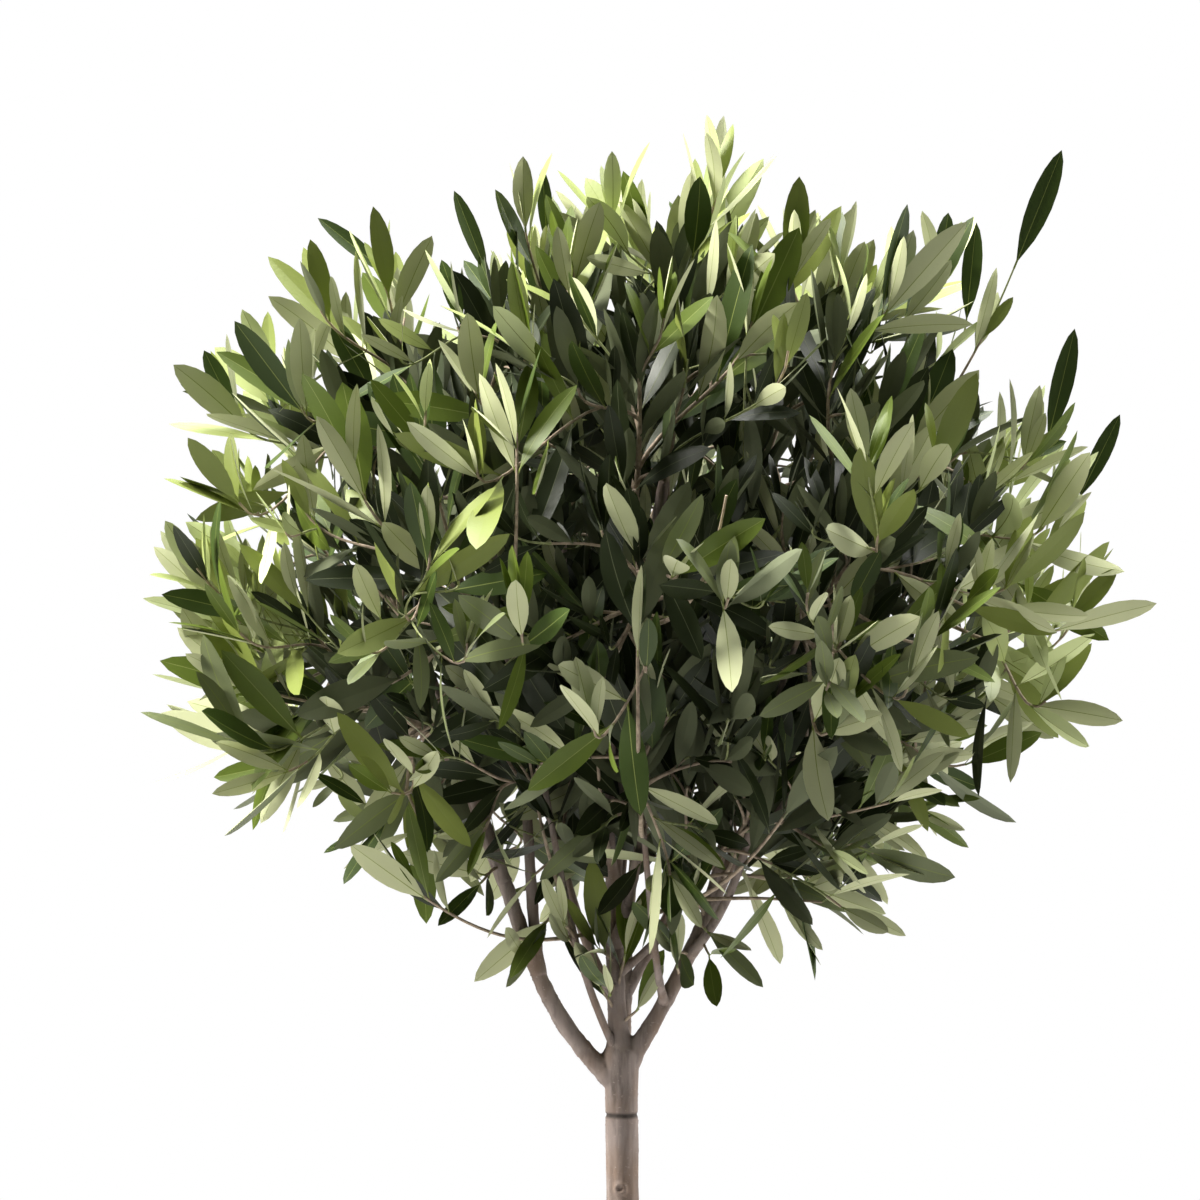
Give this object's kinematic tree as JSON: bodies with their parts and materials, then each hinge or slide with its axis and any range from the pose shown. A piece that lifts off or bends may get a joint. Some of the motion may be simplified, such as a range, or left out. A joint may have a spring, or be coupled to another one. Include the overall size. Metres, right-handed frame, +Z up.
{
  "type": "potted olive tree",
  "caption": "Standard olive tree with a round, dense crown of narrow grey-green leaves on a clear stem, planted in a plain clay pot.",
  "frame": {"origin": "middle of the pot's flat underside, where the plant stands", "axes": "+Z up along the stem, +X to the right of the picture, +Y away from its viewer"},
  "size_m": [0.6402, 0.5987, 1.372],
  "materials": {
    "pot_clay": "matte, unglazed",
    "soil": "crumbly and damp",
    "bark": "smooth grey bark",
    "foliage": "leathery leaves with paler undersides"
  },
  "bodies": {
    "root": {"pot": "pot_clay", "potting_soil": "soil", "trunk": "bark", "bough_top": "bark", "bough_low_left": "bark", "bough_right": "bark", "bough_back_low": "bark", "bough_front_left": "bark", "bough_bottom_left": "bark", "bough_bottom_right": "bark", "bough_front": "bark", "bough_front_low": "bark", "bough_front_top": "bark", "bough_back_top": "bark", "bough_top_right": "bark", "bough_top_left": "bark", "bough_upper_left": "bark", "bough_left": "bark", "bough_front_right": "bark", "bough_upper_right": "bark", "bough_low_right": "bark", "bough_back": "bark", "bough_back_left": "bark", "bough_back_right": "bark", "foliage_top": "foliage", "foliage_top_left": "foliage", "foliage_top_right": "foliage", "foliage_upper_left": "foliage", "foliage_upper_right": "foliage", "foliage_left": "foliage", "foliage_right": "foliage", "foliage_low_left": "foliage", "foliage_low_right": "foliage", "foliage_bottom_left": "foliage", "foliage_bottom_right": "foliage", "foliage_front_top": "foliage", "foliage_front": "foliage", "foliage_front_left": "foliage", "foliage_front_right": "foliage", "foliage_front_low": "foliage", "foliage_back_top": "foliage", "foliage_back": "foliage", "foliage_back_left": "foliage", "foliage_back_right": "foliage", "foliage_back_low": "foliage"}
  },
  "joints": []
}
